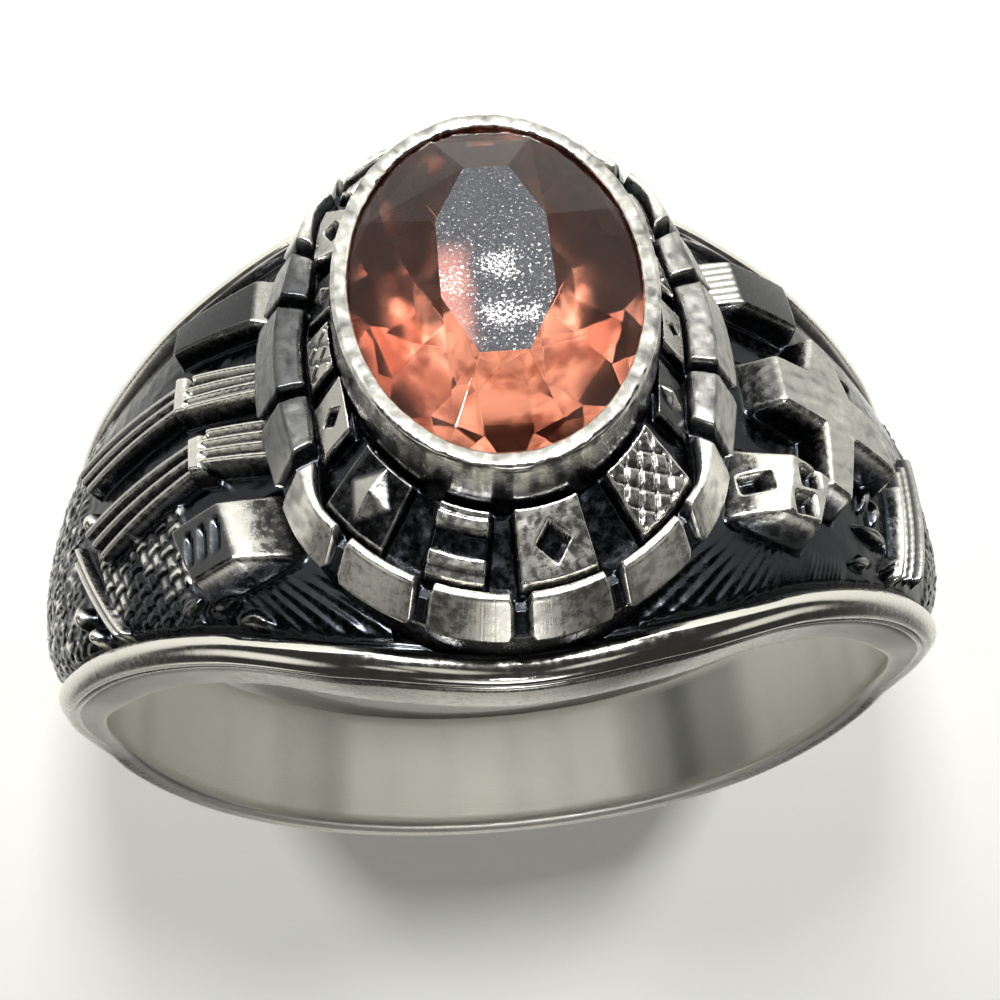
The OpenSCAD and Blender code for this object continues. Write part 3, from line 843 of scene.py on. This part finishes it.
# Rows of the channel's skin, by where they lie
IN_CHANNEL, ON_BORDER, ON_SLOPE, UNDER_FOOT = 0, 1, 2, 3
FLOOR_ROWS = 42
SLOPE_ROWS = 20
BORDER_ROWS = [
    # share of the border's top, height, how much shorter a bar is
    [0, 0.25, 0.03], [0.03, 0.6, 0.03], [0.06, 0.85, 0.045], [0.15, 0.96, 0.06], [0.3, 1.0, 0.06],
    [0.5, 1.0, 0.06], [0.7, 0.99, 0.06], [0.88, 0.97, 0.06], [1.0, 0.92, 0.05],
]
FOOT_DROP = 0.35
FOOT_IN = 0.3
# How far out the border's and the blocks' middles are, for lengths around the oval
BORDER_MID = 1.7
BLOCK_MID = 0.9
HEAD_SIDES = (12.0, 11.4, HEAD_ROOT)


def motif(kind, u, v, half_u, half_v):
    """A block's height as a share, by mm across and mm out from its middle."""
    body = np.maximum(np.abs(u) - half_u, np.abs(v) - half_v)
    rise = np.clip(0.5 - body / 0.09, 0, 1)
    rise = rise * rise * (3 - 2 * rise)
    size = min(half_u, half_v)
    if kind == PITTED:
        pit = np.abs(u) + np.abs(v) - 0.52 * size
        return rise - 0.62 * smooth(0.04, -0.04, pit) * rise
    if kind == STUDDED:
        stud = np.clip(1 - (np.abs(u) + np.abs(v)) / (0.85 * size), 0, 1)
        return rise * (0.72 + 0.5 * stud)
    if kind == STEPPED:
        groove = mix(0.62, 1, smooth(0.3, 0.37, np.abs(v) / half_v))
        return rise * groove * mix(1.0, 0.8, np.abs(v) > 0.68 * half_v)
    across = np.minimum(np.abs((u + v) % 0.4 - 0.2), np.abs((u - v) % 0.4 - 0.2))
    inner = smooth(0.9, 0.82, np.maximum(np.abs(u) / half_u, np.abs(v) / half_v))
    return rise * (1 - 0.2 * smooth(0.06, 0.01, across) * inner)


def channel():
    """The sloping channel with its blocks, and the border of bars around it, as one skin."""
    a = np.linspace(0, 360, CHANNEL_COLS, endpoint=False)[None]
    gap_low = CHANNEL_LOW - 0.02
    rows = []
    # where a row lies, how far along, height on a bar, tone, height in a gap, how much shorter a bar is
    for k in np.linspace(0, 1, FLOOR_ROWS):
        y = mix(CHANNEL_TOP, CHANNEL_LOW, k)
        rows.append((IN_CHANNEL, k, y, 0.06, y, 0))
    for k, up, short in BORDER_ROWS:
        rows.append((ON_BORDER, k, CHANNEL_LOW + up * BORDER_H, 0.1 + 0.85 * up, gap_low, short))
    for k in np.linspace(0.06, 1, SLOPE_ROWS):
        top = mix(BORDER_TOP - 0.05, BORDER_FOOT, k)
        short = 0.03 + 0.05 * smooth(0.85, 1, k)
        rows.append((ON_SLOPE, k, top, 0.95, mix(gap_low, BORDER_FOOT, k), float(short)))
    for k in (0.1, 0.4, 1.0):
        y = mix(BORDER_FOOT, BORDER_FOOT - FOOT_DROP, k)
        rows.append((UNDER_FOOT, FOOT_IN * k, y, 0, y, 0.08))
    for y in HEAD_SIDES:
        rows.append((UNDER_FOOT, FOOT_IN, y, 0, y, 0))
    kind, along, bar_y, tone, gap_y, short = [np.array(rows)[:, k, None] for k in range(6)]
    lies = [kind == IN_CHANNEL, kind == ON_BORDER, kind == ON_SLOPE]
    on_floor = lies[0]
    near, far, foot = channel_out(a) + 0.015, border_out(a), foot_out(a)
    inner, border = mix(COLLAR_OUT, channel_out(a), along), mix(near, far, along)
    bar_out = np.select(lies, [inner, border, mix(far, foot, along)], foot - along)
    gap_out = np.select(lies, [inner, border, mix(far, foot - GAP_CUT, along)],
                        foot - np.maximum(GAP_CUT, along))
    speed = pace(a, BORDER_MID)
    inside = np.full(a.shape, -1e9)
    for first, last in BARS:
        for low, high in ((first, last), (360 - last, 360 - first)):
            inside = np.maximum(inside, np.minimum(a - low, high - a) * speed)
    solid = smooth(-0.045, 0.045, inside - short)
    out = mix(gap_out, bar_out, solid)
    y = mix(gap_y, bar_y, solid)
    v = out - mix(COLLAR_OUT, channel_out(a), 0.5)
    lift = np.zeros(out.shape)
    for at, spread, shape in BLOCKS:
        half_v = 0.44 * (channel_out(at) - COLLAR_OUT)
        half_u = 0.46 * spread * pace(at, BLOCK_MID)
        u = ((a - at + 180) % 360 - 180) * pace(at, BLOCK_MID)
        lift = np.maximum(lift, motif(shape, u * (1 + 0.08 * v), v, half_u, half_v))
    lift = np.where(on_floor, lift * BLOCK_H * 0.94, 0)
    top_tone = 0.56 * smooth(0.6 * BLOCK_H, 0.85 * BLOCK_H, lift)
    around = a * AROUND
    worn = 1 + 0.2 * value_noise(around, out, 0.4, 32) + 0.3 * value_noise(a * 0.03, out, 0.06, 33)
    # the side strips are darker: partly their duller brushed finish, and partly painted shade, stronger on
    # the +X side than on the -X side
    side_dull_and_shade = sideness(a) * np.where(a < 180, 0.72, 0.5)
    bar_tone = tone * solid * np.clip(worn, 0.4, 1.05) * (1 - side_dull_and_shade)
    tone = np.where(on_floor, exposed(lift, top_tone, FULL_BLOCK), bar_tone)
    wide = sideness(a) * (kind > IN_CHANNEL) * solid
    cast = np.where(on_floor, 0.01, 0.004) * value_noise(around, v, 0.2, 31)
    cast = cast + 0.014 * wide * value_noise(a * 0.02, out, 0.05, 34)
    points = oval(a, out, y + lift * (1 - 0.25 * (v + 0.5)) + cast)
    places = np.stack([np.broadcast_to(around, out.shape), out + y * 0.5], -1)
    faces = grid_faces(len(rows), CHANNEL_COLS, round_cols=True)
    piece = make_piece("channel_and_border", points, faces, "ring_body", [CAST, SMOOTHED],
                       tone, places, period=360 * AROUND)
    on_border = np.repeat(kind[:-1, 0] > IN_CHANNEL, CHANNEL_COLS)
    piece.data.polygons.foreach_set("material_index", on_border.astype(np.int32))


def bezel():
    """The collar, the lip and the seat below the stone."""
    seat = LIP_COVER + SEAT_GAP
    low_seat = mix(seat, -OPEN_X, 0.86)
    profile = np.array([
        # out, height, tone
        (COLLAR_OUT - 0.05, CHANNEL_TOP - 0.3, 0), (COLLAR_OUT + 0.01, CHANNEL_TOP - 0.02, 0.03),
        (COLLAR_OUT, CHANNEL_TOP + 0.2, 0.05), (COLLAR_OUT, COLLAR_FOOT - 0.05, 0.12),
        (COLLAR_OUT - 0.01, COLLAR_FOOT + 0.06, 0.26), (COLLAR_OUT - 0.025, COLLAR_FOOT + 0.25, 0.45),
        (COLLAR_OUT - 0.045, COLLAR_FOOT + 0.45, 0.6), (COLLAR_OUT - 0.065, COLLAR_FOOT + 0.65, 0.75),
        (LIP_T + 0.002, LIP_Y - 0.1, 0.78), (LIP_T - 0.008, LIP_Y - 0.05, 0.76),
        (LIP_T - 0.03, LIP_Y - 0.018, 0.72), (LIP_T - 0.07, LIP_Y - 0.002, 0.68), (0.2, LIP_Y, 0.66),
        (0.14, LIP_Y - 0.004, 0.68), (0.075, LIP_Y - 0.014, 0.78), (0.03, LIP_Y - 0.032, 0.95),
        (0.008, LIP_Y - 0.06, 0.9), (0.0, LIP_Y - 0.095, 0.5),
        (0.03, LIP_Y - 0.12, 0.1), (seat, GIRDLE_TOP + SEAT_GAP, 0), (seat, GIRDLE_LOW, 0.4),
        (mix(seat, low_seat, 0.33), GIRDLE_LOW - 0.8, 0.9),
        (mix(seat, low_seat, 0.66), GIRDLE_LOW - 1.5, 0.9),
        (low_seat, GIRDLE_LOW - PAVILION_H - SEAT_GAP, 0.9), (low_seat, GIRDLE_LOW - PAVILION_H - 0.4, 0),
    ])
    a = np.linspace(0, 360, BEZEL_COLS, endpoint=False)[None]
    out, y, tone = [profile[:, None, k] * np.ones_like(a) for k in range(3)]
    around = a * AROUND
    # the dents keep clear of the stone
    free = smooth(GIRDLE_TOP + 0.1, GIRDLE_TOP + 0.25, y)
    dents = 0.016 * value_noise(around, y * 0.3, 0.7, 41) + 0.014 * value_noise(around, y, 0.14, 42)
    sag = 0.02 * value_noise(around, out, 0.25, 43) - 0.02
    points = oval(a, out + dents * free, y + sag * free)
    broad, fine = value_noise(around, y * 0.4, 0.35, 44), value_noise(around, out, 0.09, 45)
    tone = tone * (0.9 + 0.2 * broad + 0.3 * fine)
    places = np.stack([np.broadcast_to(around, out.shape), y + out], -1)
    faces = grid_faces(len(profile), BEZEL_COLS, round_rows=True, round_cols=True)[:, ::-1]
    make_piece("bezel", points, faces, "ring_body", [WORN], tone, places, 360 * AROUND)


# The stone

def stone_point(size, angle, y):
    a = math.radians(angle)
    return [size[0] * math.sin(a), -y, size[1] * math.cos(a)]


def gem():
    n = Nodes(bpy.data.materials.new("salmon_stone"))
    wear = n.noise(n.space((3, 3, 3)), detail=3)
    # the faint orange emission is painted light: a glow that lifts the stone's dark parts
    n.set({
        "Base Color": (0.66, 0.33, 0.24, 1), "Emission Color": (0.8, 0.24, 0.14, 1),
        "Emission Strength": 0.006, "Specular Tint": (0.2, 0.15, 0.15, 1),
        "Transmission Weight": 1.0, "IOR": 1.57, "Roughness": 0.012, "Normal": n.bump(wear, 0.006, 0.3),
    })
    return n.owner


def foil():
    """The bright back of a stone that is set in a closed seat."""
    n = Nodes(bpy.data.materials.new("foiled_back"))
    cells = n.noise(n.space((0.75, 0.75, 0.75)), detail=3)
    color = n.blend(n.span(cells, 0.4, 0.56), (0.48, 0.3, 0.25, 1), (0.97, 0.83, 0.77, 1))
    n.set({"Base Color": color, "Metallic": 1.0, "Roughness": 0.11})
    return n.owner


# Where the painted glints on the worn table gather most: mm to the side, mm towards the picture's bottom,
# reach
GLINT_CLUSTERS = [[-0.1, 0.2, 0.6], [-0.02, 1.25, 0.55], [0.78, 0.5, 0.5], [-0.55, 1.3, 0.3]]


def frosted():
    """The worn table: dark and finely scratched, with painted glints and some salmon at its near end."""
    n = Nodes(bpy.data.materials.new("worn_table"))
    at = n.places((1, 1, 1))
    split = n.add("ShaderNodeSeparateXYZ", {0: at})
    side, near = split.outputs["X"], split.outputs["Y"]
    scuffs = n.noise(n.places((24, 24, 1)), detail=2, rough=0.7)
    dust = n.noise(n.places((1.6, 1.6, 1)), detail=5, rough=0.75)
    loose_side = n.plus(side, n.times(dust, 0.5))
    pink = n.times(n.span(loose_side, 0.55, 1.0), n.span(near, -0.5, 0.4))
    pink = n.times(pink, 0.4)
    glint_density = n.times(n.span(near, -1.9, 0.6), 0.25)
    for at_side, at_near, reach in GLINT_CLUSTERS:
        away = n.add("ShaderNodeVectorMath", {0: at, 1: (at_side, at_near, 0)}, operation="DISTANCE")
        ragged = n.times(n.math("SUBTRACT", dust, 0.5), 1.1)
        loose = n.plus(away.outputs["Value"], ragged)
        glint_density = n.math("MAXIMUM", glint_density, n.span(loose, reach, 0.1))
    # bright flecks in the base colour are painted glints, thickest at the clusters and towards the near
    # end
    glint_flecks = n.noise(n.places((15, 15, 1)), detail=3, rough=0.85)
    painted_glints = n.span(n.plus(glint_flecks, n.times(glint_density, 0.13)), 0.615, 0.7)
    color = n.blend(painted_glints, (0.014, 0.015, 0.019, 1), (0.75, 0.73, 0.71, 1))
    n.set({
        "Base Color": n.blend(pink, color, (0.75, 0.3, 0.24, 1)), "Transmission Weight": pink,
        "IOR": 1.4, "Roughness": n.span(dust, 0.3, 0.7, 0.16, 0.32), "Normal": n.bump(scuffs, 0.05, 0.9),
    })
    return n.owner


# Rings of points below the girdle: share of the girdle's size, share of the depth, count, turn
PAVILION = [[0.745, 0.27, 16, 11.25], [0.42, 0.612, 8, 22.5], [0.2, 0.82, 8, 45]]
SIDES = 8
# The first point of each ring of the stone. The table's come first, and the culet is the last.
CROWN_RING, GIRDLE_RING, UNDER_RING, HIGH_RING, KEEL_RING, LOW_RING, CULET = 8, 16, 32, 48, 64, 72, 80
STONE_BEVEL = 0.012
BEVELLED_FROM = 8


def ring(size, count, y, turn=0.0):
    return [stone_point(size, 360 / count * i + turn, y) for i in range(count)]


def stone():
    points = ring(TABLE, SIDES, GIRDLE_TOP + CROWN_H, 22.5)
    points += ring(CORNER, SIDES, GIRDLE_TOP + CROWN_H * CORNER_UP, 22.5)
    points += ring(STONE, 2 * SIDES, GIRDLE_TOP)
    points += ring(STONE, 2 * SIDES, GIRDLE_LOW)
    for share, depth, count, turn in PAVILION:
        points += ring(share * STONE, count, GIRDLE_LOW - PAVILION_H * depth, turn)
    points.append(stone_point((0, 0), 0, GIRDLE_LOW - PAVILION_H))
    faces = [list(range(SIDES))]
    for i in range(SIDES):
        n, before = (i + 1) % SIDES, (i + SIDES - 1) % SIDES
        crown, next_crown = CROWN_RING + i, CROWN_RING + n
        start, mid, end = [GIRDLE_RING + k for k in (2 * i, 2 * i + 1, 2 * n)]
        low_start, low_mid, low_end = [UNDER_RING + k for k in (2 * i, 2 * i + 1, 2 * n)]
        high, high_mid, high_end = [HIGH_RING + k for k in (2 * i, 2 * i + 1, 2 * n)]
        keel, next_keel = KEEL_RING + i, KEEL_RING + n
        low, low_before = LOW_RING + i, LOW_RING + before
        faces += [
            [i, crown, next_crown, n], [crown, end, next_crown], [crown, start, mid], [crown, mid, end],
            [start, low_start, low_mid, mid], [mid, low_mid, low_end, end],
            [low_start, high, low_mid], [low_mid, high, high_mid], [low_mid, high_mid, low_end],
            [low_end, high_mid, high_end], [high, keel, high_mid], [high_mid, keel, next_keel, high_end],
            [keel, low, next_keel], [keel, low_before, low], [low_before, CULET, low],
        ]
    faces = [face[::-1] for face in faces]
    places = [(p[0], p[2]) for p in points]
    piece = make_piece("cut_stone", points, faces, "stone", [gem(), frosted(), foil()],
                       places=places, flat=True)
    # the table is worn, and what lies under the girdle is foiled
    piece.data.polygons[0].material_index = 1
    for face in piece.data.polygons:
        if min(face.vertices[:]) >= UNDER_RING:
            face.material_index = 2
    bevel = piece.modifiers.new("edges", "BEVEL")
    bevel.width = STONE_BEVEL * MM
    bevel.segments = 1
    bevel.limit_method = "ANGLE"
    bevel.angle_limit = math.radians(BEVELLED_FROM)


# The stage, the light and the camera

FLOOR_Z = cad_box[0][2]
FLOOR_HALF = 0.6
DOME_R = 0.58
DOME_SIDES = 64
DOME_RINGS = 12


def stage():
    mesh = bpy.data.meshes.new("floor")
    corners = [(-1, -1), (1, -1), (1, 1), (-1, 1)]
    mesh.from_pydata([(x * FLOOR_HALF, y * FLOOR_HALF, FLOOR_Z) for x, y in corners], [], [(0, 1, 2, 3)])
    n = Nodes(bpy.data.materials.new("pale_floor"))
    mottle = n.noise(n.space((0.05, 0.05, 0.05)), detail=2)
    color = n.blend(mottle, (0.94, 0.94, 0.89, 1), (0.97, 0.97, 0.92, 1))
    n.set({"Base Color": color, "Roughness": 0.6})
    mesh.materials.append(n.owner)
    floor = add_object("floor", mesh)


def backdrop():
    """A pale dome for low views. Only the camera sees it, so light and reflections stay."""
    height = np.linspace(0, math.pi / 2, DOME_RINGS, endpoint=False)[:, None]
    turn = np.linspace(0, 2 * math.pi, DOME_SIDES, endpoint=False)[None]
    out, up = DOME_R * np.cos(height), FLOOR_Z + DOME_R * np.sin(height)
    points = np.stack(np.broadcast_arrays(out * np.sin(turn), out * np.cos(turn), up), -1)
    points = points.reshape(-1, 3).tolist()
    faces = grid_faces(DOME_RINGS, DOME_SIDES, round_cols=True).tolist()
    faces.append(list(range(len(points) - DOME_SIDES, len(points))))
    mesh = bpy.data.meshes.new("backdrop")
    mesh.from_pydata(points, [], faces)
    n = Nodes(bpy.data.materials.new("pale_backdrop"))
    n.set({"Base Color": (0, 0, 0, 1), "Specular IOR Level": 0.0,
           "Emission Color": (0.9, 0.9, 0.87, 1), "Emission Strength": 0.9})
    n.owner.cycles.emission_sampling = "NONE"
    mesh.materials.append(n.owner)
    dome = add_object("backdrop", mesh)
    dome.visible_diffuse = False
    dome.visible_glossy = False
    dome.visible_transmission = False
    dome.visible_shadow = False


# What the area lights face, in metres
LIT = (0, -0.006, 0)
AREA_LIGHTS = [
    # name, place in metres, size in metres, power in watts
    ["key_light", (-0.074, -0.337, 0.084), (0.055, 0.05), 2.65],
    ["side_light", (0.086, -0.337, 0.08), (0.055, 0.05), 2.1],
    ["back_light", (-0.01, 0.1, 0.19), (0.07, 0.04), 0.03],
]


def area_light(name, at, size, power):
    light = bpy.data.lights.new(name, "AREA")
    light.shape = "RECTANGLE"
    light.size, light.size_y = size
    light.energy = power
    lamp = add_object(name, light)
    lamp.location = at
    lamp.rotation_euler = (Vector(LIT) - Vector(at)).to_track_quat("-Z", "Y").to_euler()


def spot_light(name, at, reach, power):
    """A narrow light that shines straight down, with its reach in degrees."""
    light = bpy.data.lights.new(name, "SPOT")
    light.spot_size = math.radians(reach)
    light.spot_blend = 0.4
    light.shadow_soft_size = 0.004
    light.energy = power
    add_object(name, light).location = at


# The camera, fitted to the photograph in the ring's own frame: focal length as a share of the
# sensor, distance from the ring's middle in mm, angles in degrees, and the point it looks at in mm
FOCAL_SHARE = 1.3025
SENSOR = 36
CAMERA_FAR = 35.518
CAMERA_UP = 24.742
CAMERA_YAW = 2.138
CAMERA_ROLL = -5.492
CAMERA_AIM = (-0.522, 0.0, -4.541)


def camera():
    up, yaw, roll = [math.radians(v) for v in (CAMERA_UP, CAMERA_YAW, CAMERA_ROLL)]
    way = Vector((math.sin(yaw) * math.cos(up), -math.cos(yaw) * math.cos(up), math.sin(up)))
    place = way * CAMERA_FAR
    look = (Vector(CAMERA_AIM) - place).normalized()
    level = look.cross(Vector((0, 0, 1))).normalized()
    top = level.cross(look)
    right = -math.cos(roll) * level - math.sin(roll) * top
    above = math.sin(roll) * level - math.cos(roll) * top
    turn = Matrix((right, above, -look)).transposed().to_4x4()
    data = bpy.data.cameras.new("camera")
    data.sensor_width = SENSOR
    data.lens = FOCAL_SHARE * SENSOR
    data.clip_start = 0.001
    data.clip_end = 10
    shot = add_object("camera", data)
    shot.matrix_world = Matrix.Rotation(-TILT, 4, "X") @ Matrix.Translation(place * MM) @ turn
    bpy.context.scene.camera = shot


AMBIENT = 0.04
# Azimuth from the camera's side towards +X, height, inner and outer reach in degrees, level
GLOWS = [
    [180, 2, 5, 16, 0.85],
    [150, 10, 2, 9, 1.0],
    [178, 62, 5, 18, 1.25],
    [95, 30, 6, 20, 1.1],
    [-100, 26, 5, 17, 0.9],
    [20, 55, 4, 14, 0.75],
    [-38, 62, 3, 11, 0.85],
    [62, 60, 2, 9, 0.8],
]


def surroundings():
    """A dim studio with soft glowing patches."""
    world = bpy.data.worlds.new("studio")
    bpy.context.scene.world = world
    n = Nodes(world, "Background")
    way = n.add("ShaderNodeTexCoord").outputs["Generated"]
    total = AMBIENT
    for azimuth, height, inner, outer, level in GLOWS:
        a, h = math.radians(azimuth), math.radians(height)
        middle = (math.sin(a) * math.cos(h), -math.cos(a) * math.cos(h), math.sin(h))
        near = n.add("ShaderNodeVectorMath", {0: way, 1: middle}, operation="DOT_PRODUCT").outputs["Value"]
        low, high = math.cos(math.radians(outer)), math.cos(math.radians(inner))
        total = n.plus(n.span(near, low, high, 0, level), total)
    n.set({"Strength": total, "Color": (1, 0.985, 0.93, 1)})


camera()
stage()
backdrop()
surroundings()
for row in AREA_LIGHTS:
    area_light(*row)
spot_light("bore_light", (-0.002, 0.0, 0.12), 9.5, 0.24)
bpy.context.scene.view_settings.view_transform = "Standard"

shank()
shoulder("left_shoulder", left_relief, 1)
shoulder("right_shoulder", right_relief, -1)
channel()
bezel()
stone()
